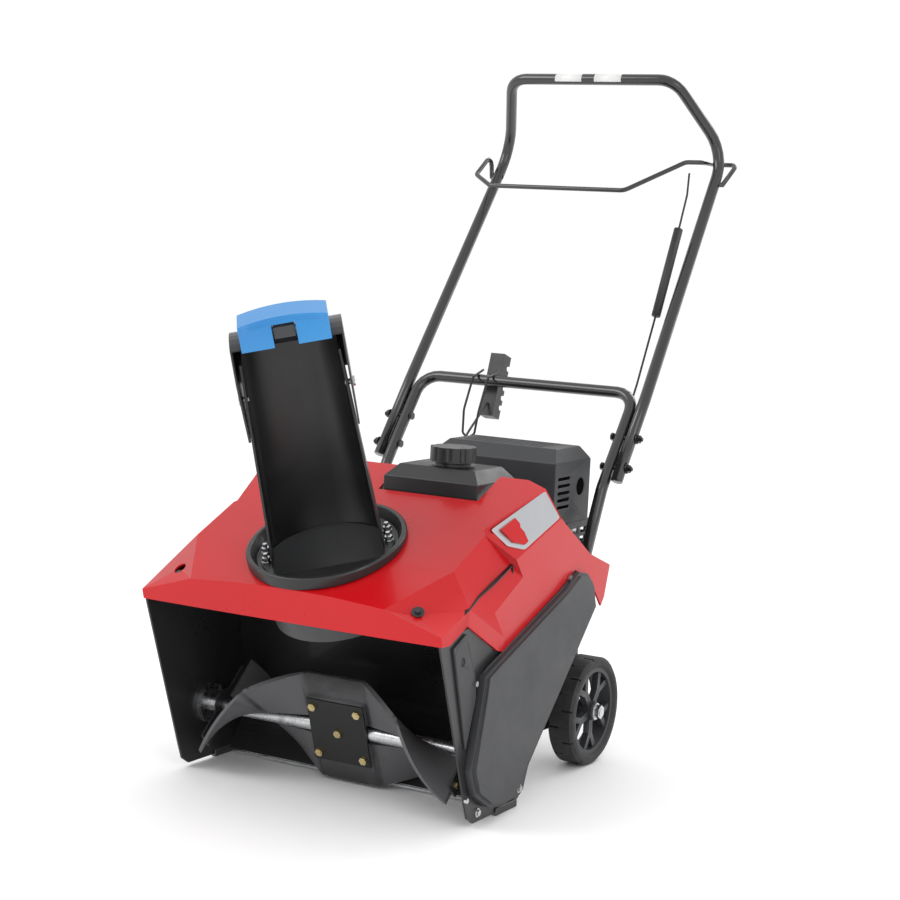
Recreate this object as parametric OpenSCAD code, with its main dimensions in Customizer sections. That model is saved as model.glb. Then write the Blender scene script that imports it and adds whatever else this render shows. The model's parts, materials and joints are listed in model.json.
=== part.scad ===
// Single stage snowblower: housing with a rubber paddle rotor, turning chute, small engine,
// belt drive, two wheels and a folding-style tube handle with a control bail.
// The intake faces -Y, the operator stands at +Y, +Z is up. Millimetres.

/* [Housing] */
// Half width of the hood, from the middle plane to its side skirt
hood_half = 248.5; // [246:0.5:252]
// Distance from the middle plane to the outer face of each side plate
plate_outer = 245; // [244.5:0.1:245.5]
// Thickness of the side plates
plate_t = 3; // [2:0.5:3]
// Slope of the hood deck, in degrees
deck_slope = 25; // [24:0.5:26]

/* [Rotor] */
// Radius of the rubber paddles
paddle_r = 85.5; // [82:0.5:86]
// Height of the rotor axis over the ground
rotor_z = 88; // [88:0.5:90]
// Angle through which each half paddle winds along the shaft
paddle_wind = 114; // [90:3:150]

/* [Chute] */
// Turn of the chute to the right of straight ahead
chute_turn = 35; // [-60:1:60]
// Forward lean of the chute axis
ring_tilt = 22; // [20:0.5:23]
// Outer radius of the chute ring
ring_r = 115; // [112:0.5:118]

/* [Wheels] */
// Outer radius of the tyres
wheel_r = 84; // [83:0.5:84]
// Width of the tyres
tyre_w = 42; // [36:1:42]

/* [Handle] */
// Outer diameter of the handle tubes
tube_d = 19; // [16:0.5:19]
// Height of the top bar's centre line
bar_z = 1078; // [1060:1:1100]

/* [Drive] */
// Radius of the engine pulley
crank_pulley_r = 26; // [24:0.5:27]
// Radius of the rotor pulley
rotor_pulley_r = 52; // [46:0.5:53]

/* [Hidden] */
$fn = 64;

// Offsets that put the origin under the middle of the whole machine
mid_x = 6.5;
axle_y = 88.7;

// Named places, with the wheel axle at y = 0
rotor_y = -358;
crank_y = -131;
crank_z = 270;
ring_y = -422;
ring_z = 366;
drive_x = 249.5;
drive_w = 7.5;
tube_r = tube_d / 2;
lower_x = 198;
upper_x = lower_x + tube_d + 0.6;
idler_pivot = [-200, 262];
idler_rest = [-289.5, 237];
pivot_y = -15;
pivot_z = 246;
ear_x = 73.5;
ear_t = 2.5;
cap_x = 84;
cap_y = -222;
tank_top = 470;

red = [0.80, 0.06, 0.09];
black = [0.06, 0.06, 0.07];
satin = [0.20, 0.20, 0.22];
steel = [0.70, 0.71, 0.72];
rubber = [0.09, 0.09, 0.10];
blue = [0.10, 0.36, 0.66];
brass = [0.72, 0.58, 0.28];

// ---------- shared helpers ----------

// Moves the drawing from axle-based places to the machine's own origin
module place() {
    translate([-mid_x, axle_y, 0]) children();
}

// Extrudes a y-z outline along +X from x0
module sheet_x(pts, x0, t) {
    translate([x0, 0, 0]) rotate([90, 0, 90]) linear_extrude(t) polygon(pts);
}

// A cylinder along +X
module bar_x(x0, len, r, y = 0, z = 0) {
    translate([x0, y, z]) rotate([0, 90, 0]) cylinder(r = r, h = len);
}

// The chute ring's frame: its axis leans forward
module at_ring() {
    translate([0, ring_y, ring_z]) rotate([ring_tilt, 0, 0]) children();
}

// The chute's frame, turned with it
module at_chute() {
    at_ring() rotate([0, 0, chute_turn]) children();
}

// A hex head or nut with its axis along +Z
module hex(af, h) {
    cylinder(d = af / cos(30), h = h, $fn = 6);
}

// A hex bolt along +Z: head below z = 0, shank above, nut at the far end
module hex_bolt(d, grip, af, head_h) {
    translate([0, 0, -head_h]) hex(af, head_h);
    cylinder(d = d, h = grip + head_h + 1);
    translate([0, 0, grip]) hex(af, head_h);
}

function unit(v) = v / norm(v);
function onto(p, d, q, n) = p + d * ((q - p) * n) / (d * n);
function arc_pts(a, b, c, r, steps) =
    let (u = unit(a - b), w = unit(c - b), half = acos(max(-1, min(1, u * w))) / 2,
         mid = b + unit(u + w) * r / sin(half), t = r / tan(half),
         s = b + u * t - mid, e = b + w * t - mid, turn = 180 - 2 * half)
    [for (i = [0:steps]) mid + (s * sin(turn * (1 - i / steps)) + e * sin(turn * i / steps)) / sin(turn)];
function rounded(pts, r, steps = 5) =
    concat([pts[0]],
        [for (i = [1:len(pts) - 2]) each arc_pts(pts[i - 1], pts[i], pts[i + 1], r[i - 1], steps)],
        [pts[len(pts) - 1]]);
function dir_at(p, i) =
    i == 0 ? unit(p[1] - p[0])
    : i == len(p) - 1 ? unit(p[i] - p[i - 1])
    : unit(unit(p[i] - p[i - 1]) + unit(p[i + 1] - p[i]));
function first_ring(p, r, sides) =
    let (d = dir_at(p, 0), u = unit(cross(d, abs(d[0]) > 0.9 ? [0, 0, 1] : [1, 0, 0])), w = cross(d, u))
    [for (k = [0:sides - 1]) p[0] + r * (cos(360 * k / sides) * u + sin(360 * k / sides) * w)];
function next_ring(ring, p, i) =
    let (d = unit(p[i] - p[i - 1]))
    [for (q = ring) onto(q, d, p[i], dir_at(p, i))];

// A round bar or cable that follows a list of points
module sweep(p, r, sides = 16) {
    n = len(p);
    rings = [for (i = 0, ring = first_ring(p, r, sides); i < n;
                  i = i + 1, ring = i < n ? next_ring(ring, p, i) : ring) ring];
    polyhedron(
        points = [for (ring = rings) each ring],
        faces = concat(
            [[for (k = [0:sides - 1]) k]],
            [for (i = [0:n - 2], k = [0:sides - 1])
                [i * sides + k, (i + 1) * sides + k,
                 (i + 1) * sides + (k + 1) % sides, i * sides + (k + 1) % sides]],
            [[for (k = [sides - 1:-1:0]) (n - 1) * sides + k]]),
        convexity = 10);
}

// ---------- housing ----------

function deck_z(y) = 316 + (y + 524.5) * tan(deck_slope);
function ring_arc(r, a0, a1, steps) =
    [for (i = [0:steps]) let (a = a0 + (a1 - a0) * i / steps)
        [rotor_y + r * cos(a), rotor_z + r * sin(a)]];

// Rolled sheet: scraper edge, round the rotor, up to the chute and forward to the hood lip
module auger_housing() {
    shell_r = 95;
    t = 2;
    back = [-318, 352];
    front = [-512, 274];
    color(black) place() difference() {
        sheet_x(concat(ring_arc(shell_r, -57, 22, 14), [back, front],
            [front + [0, t], back + [t, t * 1.3]], ring_arc(shell_r + t, 22, -57, 14)),
            -plate_outer + plate_t, 2 * (plate_outer - plate_t));
        at_ring() translate([0, 0, -140]) cylinder(r = 93, h = 150);
        for (x = [-245, 238.5]) translate([x, -342, 0]) cube([6.5, 66, 12]);
        difference() {
            translate([-250, -530, 241]) cube([500, 230, 150]);
            hood_form(3.7);
        }
    }
}

plate_outline = [[-516, 268], [-429, 36], [-420, 14], [-404, 4], [-282, 4], [-256, 20], [-243, 52],
    [-44, 257], [-60, 300], [-110, 325], [-176, 303], [-345, 240], [-440, 284], [-513, 274]];

module side_plate(side) {
    x0 = side > 0 ? plate_outer - plate_t : -plate_outer;
    color(black) place() difference() {
        sheet_x(plate_outline, x0, plate_t);
        bar_x(x0 - 1, plate_t + 2, 20, rotor_y, rotor_z);
        bar_x(x0 - 1, plate_t + 2, 16, crank_y, crank_z);
    }
}

module left_side_plate() { side_plate(-1); }

// The right plate also carries the stud that the idler arm swings on
module right_side_plate() {
    side_plate(1);
    color(black) place() bar_x(plate_outer - 1, 6, 4, idler_pivot[0], idler_pivot[1]);
}

// Screws that hold the housing sheet's flanges to the left plate and the front panel
module housing_bolts() {
    color(steel) place() {
        for (p = [[-485, 235], [-452, 150], [-300, 225], [-270, 160], [-272, 46]])
            translate([-plate_outer, p[0], p[1]]) rotate([0, -90, 0]) {
                hex(8, 4);
                cylinder(r = 6.5, h = 1.2);
            }
        for (p = [[-270, 24], [-392, 17]])
            translate([plate_outer, p[0], p[1]]) rotate([0, 90, 0]) {
                hex(8, 4);
                cylinder(r = 6.5, h = 1.2);
            }
    }
}

scraper_x = 229.5;
module scraper() {
    color(steel) place() difference() {
        translate([-scraper_x, -310, 3.5]) cube([2 * scraper_x, 26, 3]);
        for (x = [-180, -60, 60, 180]) translate([x, -292, 0]) cylinder(d = 6.4, h = 12);
    }
}

module scraper_bolts() {
    color(brass) place() for (x = [-180, -60, 60, 180]) translate([x, -292, 6.5]) {
        hex(10, 4);
        translate([0, 0, -2.5]) cylinder(d = 6.2, h = 4);
    }
}

// Wear shoes under the side plates: the machine rests on them and on its wheels
module skid(side) {
    color(rubber) place() translate([side > 0 ? plate_outer - 6 : -plate_outer - 3, -340, 0]) difference() {
        cube([9, 62, 11]);
        translate([3, -1, 4]) cube([3, 64, 20]);
    }
}

module left_skid() { skid(-1); }
module right_skid() { skid(1); }

// Round collar between the housing and the chute ring
module chute_funnel() {
    color(satin) place() at_ring() translate([0, 0, -104]) difference() {
        cylinder(r = 92.5, h = 90);
        translate([0, 0, -1]) cylinder(r = 89, h = 92);
    }
}

ring_seat = 105.6;

// Everything under the hood's deck plane
module under_deck() {
    translate([0, -524.5, 316.3]) rotate([deck_slope, 0, 0]) translate([-160, -80, -80]) cube([320, 360, 80]);
}

// Dished ring that the chute turns in: its collar drops through the deck and its rim lies on it
module chute_ring() {
    color(black) place() difference() {
        at_ring() rotate_extrude() polygon([[89, -14], [ring_r, -14], [ring_r, 8], [ring_r - 2, 10],
            [ring_r - 7, 10], [101, -6], [89, -6]]);
        difference() {
            under_deck();
            at_ring() translate([0, 0, -60]) cylinder(r = ring_seat, h = 120);
        }
    }
}

// ---------- hood ----------

module slab(p) {
    translate(p) cube([0.5, 0.5, 0.5], center = true);
}

// Outer form of the hood, drawn in by d on every side: a deck and two raised shoulders
module hood_form(d) {
    w = hood_half - d;
    hull() for (s = [-1, 1]) {
        slab([s * w, -521 + d, 283 - d]);
        slab([s * w, -517 + d, 240]);
        slab([s * 160, -524.5 + d, 309.5 - d]);
        slab([s * 20, -524.5 + d, 315.4 - d]);
        slab([s * (240 - d), -430, 306 - d]);
        slab([s * (215 - d), -437, 357 - d]);
        slab([s * (206 - d), -213, deck_z(-213) - d]);
        slab([s * w, -344, 256 - d]);
        slab([s * w, -82, 343 - d]);
        slab([s * w, -9, 318 - d]);
        slab([s * w, -9, 240]);
    }
    for (s = [-1, 1]) hull() {
        slab([s * (215 - d), -437 + d, 357 - d]);
        slab([s * (240 - d), -430 + d, 306 - d]);
        slab([s * w, -375 + d, 295 - d]);
        slab([s * w, -344 + d, 240]);
        slab([s * w, -318, 362 - d]);
        slab([s * (214 - d), -352, 396.4 - d]);
        slab([s * (206 - d), -213, deck_z(-213) - d]);
        slab([s * (242 - d), -229, 453.5 - d]);
        slab([s * w, -185, 407 - d]);
        slab([s * w, -82, 343 - d]);
        slab([s * w, -9, 318 - d]);
        slab([s * w, -9, 240]);
        slab([s * 190, -9, 240]);
        slab([s * 190, -430, 240]);
    }
}

// Frame of one front screw, square to the sloping corner of the hood
module at_screw(s) {
    translate([s * 200, -503, 312.5]) rotate([0, 39.3, s > 0 ? -66.3 : -113.7]) children();
}

module hood() {
    color(red) place() difference() {
        hood_form(0.25);
        hood_form(3.25);
        translate([-300, -560, 200]) cube([600, 214, 68.6]);
        translate([-300, -600, 0]) cube([600, 700, 236]);
        for (x = [-hood_half - 2, plate_outer - 1])
            sheet_x([[-530, 268], [-495, 268.6], [-450, 288], [-361, 240], [-350, 237.5], [-177, 303],
                [-132, 325.5], [-102, 320.5], [-82, 304], [-55, 280], [-30, 236], [-30, 200], [-530, 200]],
                x, 6);
        at_ring() translate([0, 0, -60]) cylinder(r = ring_seat + 0.3, h = 120);
        for (s = [-1, 1]) at_screw(s) translate([0, 0, -20]) cylinder(r = 9, h = 40);
        translate([-214, -80, 200]) cube([428, 120, 300]);
        translate([-9, -276, 380]) cube([168, 90, 120]);
        translate([-190, -212, 200]) cube([380, 260, 300]);
        translate([-165, -240, 300]) cube([160, 60, 200]);
    }
}

module hood_screws() {
    color(black) place() for (s = [-1, 1]) at_screw(s) {
        translate([0, 0, -7]) cylinder(r = 8.9, h = 1.5);
        translate([0, 0, -6]) hex(8, 4);
        translate([0, 0, -14]) cylinder(d = 5.8, h = 10);
    }
}

decal_outline = [[-352, 391], [-338, 373], [-190, 408], [-226, 444], [-338, 400]];

// Thin plain plate wrapped on the hood's right shoulder
module decal_plate() {
    color(steel) place() intersection() {
        difference() {
            hood_form(-0.8);
            hood_form(0.24);
        }
        sheet_x(decal_outline, 190, 70);
    }
}

module front_side_panel() {
    color(satin) place() difference() {
        sheet_x([[-486, 262], [-452, 278], [-424, 216], [-418, 184], [-440, 116]], plate_outer, 4);
        translate([plate_outer + 1.5, -460, 240]) rotate([0, 90, 0]) cylinder(r = 6, h = 6);
    }
}

leaf = [[-436, 84], [-420, 48], [-379, 23], [-340, 16], [-301, 30], [-286, 56], [-129, 212],
    [-86, 258], [-77, 275], [-84, 300], [-104, 317], [-131, 322], [-176, 300], [-387, 221],
    [-408, 212], [-413, 184]];

// Offsets every leaf point toward the leaf's middle
function shrink(pts, f, c) = [for (p = pts) c + (p - c) * f];

// Leaf shaped cover over the belt drive, on the right side plate
module belt_cover() {
    mid = [-262, 175];
    color(satin) place() difference() {
        union() {
            sheet_x(leaf, plate_outer, 12);
            sheet_x(shrink(leaf, 0.97, mid), plate_outer + 11, 6);
        }
        sheet_x(shrink(leaf, 0.965, mid), plate_outer - 1, 15.5);
    }
}

module belt_cover_screws() {
    color(steel) place() for (p = [[4, -424, 205], [3.6, -152, 316], [0, -428, 42]])
        translate([plate_outer + p[0], p[1], p[2]]) rotate([0, 90, 0]) hex(7, 4);
}

// ---------- chassis and wheels ----------

rail_x = 185.5;
module chassis_rails() {
    color(black) place() for (s = [-1, 1]) difference() {
        sheet_x([[-258, 66], [14, 62], [24, 96], [10, 300], [-60, 318], [-307, 318], [-283, 200],
            [-264.4, 118], [-259.2, 92]], s > 0 ? rail_x : -rail_x - 3, 3);
        for (p = foot_bolts) bar_x(-rail_x - 10, 2 * rail_x + 20, 3.2, p[0], p[1]);
        bar_x(-rail_x - 10, 2 * rail_x + 20, 6.42, 0, wheel_r);
        bar_x(-rail_x - 10, 2 * rail_x + 20, 16, crank_y, crank_z);
        translate([-rail_x - 10, -200, 110]) rotate([0, 90, 0]) cylinder(r = 26, h = 2 * rail_x + 20);
    }
}

// Cross plate that carries the engine, with two posts up to the engine's cover
module engine_deck() {
    color(black) place() {
        difference() {
            translate([-rail_x, -250, 190]) cube([2 * rail_x, 258, 3]);
            translate([-60, -20, 180]) cube([100, 40, 30]);
        }
        translate([-48, -34, 192]) cube([10, 12, 180]);
        translate([160, -52, 192]) cube([10, 12, 180]);
    }
}

module axle() {
    color(steel) place() bar_x(-244, 488, 6.35, 0, wheel_r);
}

tyre_x0 = 191.5;
module tyre(side) {
    lugs = 20;
    color(rubber) place() translate([side * (tyre_x0 + tyre_w / 2), 0, wheel_r]) rotate([0, 90, 0])
        difference() {
            rotate_extrude() polygon([[67.3, -tyre_w / 2 + 4], [72, -tyre_w / 2], [wheel_r - 5, -tyre_w / 2],
                [wheel_r, -tyre_w / 2 + 4], [wheel_r, tyre_w / 2 - 4], [wheel_r - 5, tyre_w / 2],
                [72, tyre_w / 2], [67.3, tyre_w / 2 - 4]]);
            for (i = [0:lugs - 1]) rotate([0, 0, 360 * (i + 0.5) / lugs])
                translate([wheel_r - 3.5, -1.5, i % 2 == 0 ? 2 : -tyre_w]) cube([8, 3, tyre_w - 2]);
        }
}

module left_tyre() { tyre(-1); }
module right_tyre() { tyre(1); }

// Five-spoke plastic rim with a plain bore that runs on the axle
module rim(side) {
    color(satin) place() translate([side * (tyre_x0 + tyre_w / 2), 0, wheel_r]) rotate([0, 90 * side, 0])
        difference() {
            union() {
                rotate_extrude() polygon([[61, -17], [67.2, -17], [67.2, 17], [61, 17]]);
                translate([0, 0, -20]) cylinder(r = 15, h = 40);
                for (i = [0:4]) rotate([0, 0, 72 * i]) {
                    translate([12, -6, 4]) cube([26, 12, 10]);
                    for (s = [-1, 1]) translate([34, 0, 4]) rotate([0, 0, s * 32])
                        translate([0, -4.5, 0]) cube([34, 9, 10]);
                }
            }
            translate([0, 0, -30]) cylinder(r = 6.40, h = 60);
            difference() {
                translate([0, 0, -30]) cylinder(r = 90, h = 60);
                translate([0, 0, -31]) cylinder(r = 67.2, h = 62);
            }
        }
}

module left_rim() { rim(-1); }
module right_rim() { rim(1); }

module axle_nuts() {
    color(steel) place() for (s = [-1, 1])
        translate([s * (tyre_x0 + tyre_w / 2 + 20.5), 0, wheel_r]) rotate([0, 90 * s, 0]) difference() {
            union() {
                cylinder(r = 13, h = 2);
                hex(19, 10);
            }
            translate([0, 0, -1]) cylinder(r = 6.35, h = 20);
        }
}

// ---------- rotor ----------

rotor_half = 210;
plate_gap = 11.3;
plate_turn = 108.7;

module rotor_shaft() {
    color(steel) place() bar_x(-240, drive_x + drive_w + 240 + 1, 11, rotor_y, rotor_z);
}

bend_x = 130;

// A stretch of blade along +X from x0 to x1, wound from angle a0 to a1
module blade(x0, x1, a0, a1) {
    translate([x0, 0, 0]) rotate([a0, 0, 0]) rotate([90, 0, 90])
        linear_extrude(x1 - x0, twist = a0 - a1, slices = 18, segments = 4)
            translate([15, -4]) square([paddle_r - 15, 8]);
}

// One rubber paddle: a clamped middle block and two blades that wind out to the ends
module paddle(turn) {
    mid = 48;
    color(rubber) place() translate([0, rotor_y, rotor_z]) rotate([turn, 0, 0]) difference() {
        union() {
            for (s = [0, 1]) mirror([s, 0, 0]) {
                blade(mid - 0.1, bend_x, 0, paddle_wind / 3);
                blade(bend_x - 0.1, rotor_half, paddle_wind / 3, paddle_wind);
            }
            translate([-mid, 15, -4]) cube([2 * mid, paddle_r - 15, 8]);
            translate([-45, 14, -plate_gap + 0.1]) cube([90, 38, 2 * plate_gap - 0.2]);
        }
        for (p = bolt_spots) translate([p[0], p[1], -20]) cylinder(d = 6.5, h = 40);
    }
}

module paddle_front() { paddle(plate_turn); }
module paddle_rear() { paddle(plate_turn + 180); }

bolt_spots = [[-38, 38], [38, 38], [-38, -38], [38, -38]];

// Two steel plates that clamp the paddles round the shaft
module centre_plates() {
    color(black) place() translate([0, rotor_y, rotor_z]) rotate([plate_turn, 0, 0]) difference() {
        for (z = [plate_gap, -plate_gap - 3]) translate([-48, -50, z]) cube([96, 100, 3]);
        for (p = bolt_spots) translate([p[0], p[1], -20]) cylinder(d = 6.6, h = 40);
    }
}

module rotor_end_plates() {
    color(black) place() translate([0, rotor_y, rotor_z]) rotate([plate_turn + paddle_wind, 0, 0])
        for (s = [-1, 1]) translate([s > 0 ? rotor_half : -rotor_half - 3, 0, 0]) difference() {
            union() {
                translate([0, -66, -13]) cube([3, 132, 26]);
                bar_x(0, 3, 26);
            }
            bar_x(-1, 5, 11.02);
        }
}

module rotor_bolts() {
    color(brass) place() translate([0, rotor_y, rotor_z]) {
        rotate([plate_turn, 0, 0]) {
            for (p = bolt_spots) translate([p[0], p[1], -plate_gap - 3])
                hex_bolt(6.4, 2 * plate_gap + 6, 11, 4.5);
            translate([0, 0, plate_gap + 3]) hex(11, 4.5);
            translate([0, 0, -plate_gap - 7.5]) hex(11, 4.5);
        }
        rotate([plate_turn + paddle_wind, 0, 0]) for (s = [-1, 1], y = [-54, 54])
            translate([s * (rotor_half + 3), y, 0]) rotate([0, s * 90, 0]) hex(9, 4);
    }
}

// Flanged bearings: the left in its plate, the right in its plate
module rotor_bearings() {
    color(steel) place() for (s = [-1, 1]) translate([0, rotor_y, rotor_z]) rotate([0, s * 90, 0])
        difference() {
            union() {
                translate([0, 0, plate_outer - plate_t - 8]) cylinder(r = 30, h = 8);
                translate([0, 0, plate_outer - plate_t]) cylinder(r = 19.9, h = plate_t);
            }
            translate([0, 0, 200]) cylinder(r = 11.05, h = 60);
        }
}

module pulley(r, bore) {
    translate([drive_x, 0, 0]) rotate([0, 90, 0]) rotate_extrude() polygon([[bore, 0], [r + 5, 0],
        [r + 5, 1], [r, 1.3], [r, drive_w - 1.3], [r + 5, drive_w - 1], [r + 5, drive_w], [bore, drive_w]]);
}

module rotor_pulley() {
    color(steel) place() translate([0, rotor_y, rotor_z]) pulley(rotor_pulley_r, 11.02);
}

// ---------- belt drive ----------

module crankshaft() {
    color(steel) place() bar_x(-120, drive_x + drive_w + 121, 9.5, crank_y, crank_z);
}

module crank_pulley() {
    color(steel) place() translate([0, crank_y, crank_z]) pulley(crank_pulley_r, 9.52);
}

module flywheel() {
    color(steel) place() translate([-118, crank_y, crank_z]) rotate([0, 90, 0]) difference() {
        union() {
            cylinder(r = 60, h = 12);
            for (i = [0:11]) rotate([0, 0, 30 * i]) translate([40, -1.5, 11]) cube([18, 3, 10]);
        }
        translate([0, 0, -1]) cylinder(r = 9.52, h = 20);
    }
}

// Endless belt, half a millimetre clear of both pulleys
module drive_belt() {
    gap = 0.5;
    thick = 5;
    color(rubber) place() translate([drive_x + 1.8, 0, 0]) rotate([90, 0, 90])
        linear_extrude(drive_w - 3.6) difference() {
            hull() {
                translate([crank_y, crank_z]) circle(r = crank_pulley_r + gap + thick);
                translate([rotor_y, rotor_z]) circle(r = rotor_pulley_r + gap + thick);
            }
            hull() {
                translate([crank_y, crank_z]) circle(r = crank_pulley_r + gap);
                translate([rotor_y, rotor_z]) circle(r = rotor_pulley_r + gap);
            }
        }
}

idler_arm_t = 2.5;
module idler_arm() {
    run = idler_rest - idler_pivot;
    color(steel) place() difference() {
        union() {
            translate([plate_outer + 0.6, idler_pivot[0], idler_pivot[1]]) rotate([0, 90, 0])
                cylinder(r = 9, h = idler_arm_t);
            translate([plate_outer + 0.6, idler_pivot[0], idler_pivot[1]])
                rotate([atan2(run[1], run[0]), 0, 0]) translate([0, 0, -7])
                    cube([idler_arm_t, norm(run), 14]);
            translate([plate_outer + 0.6, idler_rest[0], idler_rest[1]]) rotate([0, 90, 0])
                cylinder(r = 5, h = 11);
        }
        bar_x(plate_outer - 1, 20, 4.05, idler_pivot[0], idler_pivot[1]);
    }
}

module idler_pulley() {
    color(satin) place() translate([plate_outer + 3.8, idler_rest[0], idler_rest[1]]) rotate([0, 90, 0])
        difference() {
            cylinder(r = 13, h = 7.5);
            translate([0, 0, -1]) cylinder(r = 5.05, h = 10);
        }
}

// ---------- engine ----------

module engine_block() {
    color(steel) place() difference() {
        union() {
            translate([-80, crank_y - 62, 193]) cube([200, 124, 10]);
            translate([-80, crank_y - 52, 200]) cube([180, 104, 130]);
            bar_x(96, 34, 34, crank_y, crank_z);
            translate([40, crank_y - 52, 329]) cube([60, 24, 67]);
        }
        bar_x(-100, 300, 9.6, crank_y, crank_z);
    }
}

module engine_cylinder() {
    color(steel) place() {
        translate([10, crank_y + 52, 262]) cube([84, 84, 60]);
        for (i = [0:6]) translate([0, crank_y + 60 + 10 * i, 254]) cube([104, 4, 76]);
    }
}

shroud_lo = [-48, -56, 372];
shroud_hi = [170, 66, 488];
module engine_shroud() {
    lo = shroud_lo;
    hi = shroud_hi;
    color(satin) place() difference() {
        hull() {
            translate([lo[0], lo[1], lo[2]]) cube([hi[0] - lo[0], hi[1] - lo[1], hi[2] - lo[2] - 20]);
            translate([lo[0] + 18, lo[1] + 22, hi[2] - 1]) cube([hi[0] - lo[0] - 30, hi[1] - lo[1] - 40, 1]);
        }
        hull() {
            translate([lo[0] + 3, lo[1] + 3, lo[2] - 1])
                cube([hi[0] - lo[0] - 6, hi[1] - lo[1] - 6, hi[2] - lo[2] - 21]);
            translate([lo[0] + 21, lo[1] + 25, hi[2] - 4]) cube([hi[0] - lo[0] - 36, hi[1] - lo[1] - 46, 1]);
        }
        for (i = [0:4]) translate([hi[0] - 10, -44, 396 + 11 * i]) cube([20, 42, 5]);
        bar_x(hi[0] - 10, 20, 14, 34, 426);
    }
}

// Fan and starter cover on the left of the engine
module recoil_housing() {
    color(satin) place() translate([-150, crank_y, crank_z]) rotate([0, 90, 0]) difference() {
        cylinder(r = 76.4, h = 70);
        translate([0, 0, 3]) cylinder(r = 72.4, h = 70);
        for (i = [0:11]) rotate([0, 0, 30 * i]) translate([34, -4, -1]) cube([28, 8, 6]);
        translate([-64, 44, 42]) cube([26, 36, 16]);
    }
}

module muffler() {
    color(steel) place() translate([104, -2, 306]) cube([58, 66, 58]);
}

// Slotted guard round the muffler
module muffler_guard() {
    color(satin) place() difference() {
        translate([106, -6, 300]) cube([64, 84, 72]);
        translate([103, -3, 303]) cube([64, 78, 80]);
        for (i = [0:3], k = [0:1]) translate([150, 2 + 38 * k, 310 + 14 * i]) cube([30, 30, 8]);
        for (i = [0:3]) translate([114, 60, 310 + 14 * i]) cube([44, 30, 8]);
    }
}

module fuel_tank() {
    color(black) place() difference() {
        union() {
            hull() {
                translate([-4, -271, 396]) cube([158, 116, 56]);
                translate([12, -253, tank_top - 1]) cube([126, 84, 1]);
            }
            translate([cap_x, cap_y, tank_top - 2]) cylinder(r = 26, h = 8);
        }
        translate([cap_x, cap_y, tank_top - 12]) cylinder(r = 20, h = 30);
    }
}

cap_r = 34;
module fuel_cap() {
    color(black) place() translate([cap_x, cap_y, tank_top + 1]) difference() {
        union() {
            translate([0, 0, 6]) cylinder(r = cap_r, h = 22);
            cylinder(r = 19.5, h = 10);
        }
        translate([0, 0, 5]) rotate_extrude() translate([19.5, 0]) square([8, 3]);
        for (i = [0:9]) rotate([0, 0, 36 * i]) translate([cap_r + 3, 0, 8]) cylinder(r = 6, h = 30);
    }
}

// Choke knob, primer and key boss on the back of the engine shroud
module engine_controls() {
    color(black) place() {
        translate([60, 66, 430]) rotate([-90, 0, 0]) cylinder(r = 16, h = 5);
        translate([110, 66, 430]) rotate([-90, 0, 0]) cylinder(r = 12, h = 12);
        translate([10, 66, 430]) rotate([-90, 0, 0]) cylinder(r = 10, h = 12);
    }
}

// ---------- chute ----------

chute_h = 306;
module chute_section(w, y0, y1, z) {
    translate([0, 0, z]) linear_extrude(0.5) {
        translate([-w, y0]) square([2 * w, y1 - y0 - w * 0.6]);
        translate([0, y1 - w * 0.6]) scale([1, 0.6]) circle(r = w, $fn = 32);
    }
}

// Channel that stands on a turning base flange, open to the throwing side
module chute() {
    color(black) place() at_chute() difference() {
        union() {
            hull() {
                chute_section(80, -34, 76, -5.5);
                chute_section(68, -44, 40, chute_h);
            }
            translate([0, 0, -5.5]) cylinder(r = 96, h = 2.6);
        }
        hull() {
            chute_section(77, -60, 73, -7.5);
            chute_section(65, -70, 37, chute_h + 2);
        }
        for (s = [-1, 1]) translate([s * 69, pivot_y, pivot_z]) rotate([0, 90, 0])
            cylinder(r = 4.02, h = 12, center = true);
    }
}

module chute_bolts() {
    color(steel) place() at_chute() for (s = [-1, 1], k = [0, 1]) {
        translate([s * 87, -16 + 30 * k, -2.9]) {
            cylinder(r = 6.5, h = 2);
            hex(10, 8);
            cylinder(r = 3, h = 14);
        }
    }
    color(steel) place() at_chute() for (s = [-1, 1])
        translate([s * (ear_x - 8), pivot_y, pivot_z]) rotate([0, s * 90, 0]) {
            cylinder(r = 4, h = 12);
            translate([0, 0, 11]) cylinder(r = 7, h = 3);
        }
}

roof_r = 92;
// Hood at the chute's top: two ears and a curved roof round the same pivot
module deflector() {
    color(black) place() at_chute() translate([0, pivot_y, pivot_z]) difference() {
        union() {
            for (s = [-1, 1]) sheet_x(concat(
                [for (a = [-8:8:112]) [roof_r * cos(a), roof_r * sin(a)]],
                [[-50, 40], [-28, -52], [-14, -58], [4, -52], [60, -20]]),
                s > 0 ? ear_x : -ear_x - ear_t, ear_t);
            sheet_x(concat([for (a = [-8:8:112]) [roof_r * cos(a), roof_r * sin(a)]],
                [for (a = [112:-8:-8]) [(roof_r - 2.5) * cos(a), (roof_r - 2.5) * sin(a)]]),
                -ear_x - 1, 2 * ear_x + 2);
        }
        bar_x(-90, 180, 4.06);
    }
}

// Wide bowed grip on top of the deflector, with a pocket for the lock trigger
module deflector_handle() {
    top = roof_r + 35;
    color(blue) place() at_chute() translate([0, pivot_y, pivot_z]) {
        difference() {
            intersection() {
                translate([-60, -46, 84]) cube([120, 48, top - 84]);
                translate([0, 10, top - 262]) rotate([90, 0, 0]) cylinder(r = 262, h = 80);
            }
            bar_x(-90, 180, roof_r);
            translate([-16, -60, 40]) cube([32, 80, roof_r - 16]);
            translate([-52, -40, 40]) cube([104, 36, roof_r - 18]);
        }
        bar_x(-16.1, 32.2, 2, -34, roof_r + 14);
        for (s = [-1, 1]) translate([s > 0 ? 16 : -19, -44, roof_r + 8]) cube([3, 16, 18]);
    }
}

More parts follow.
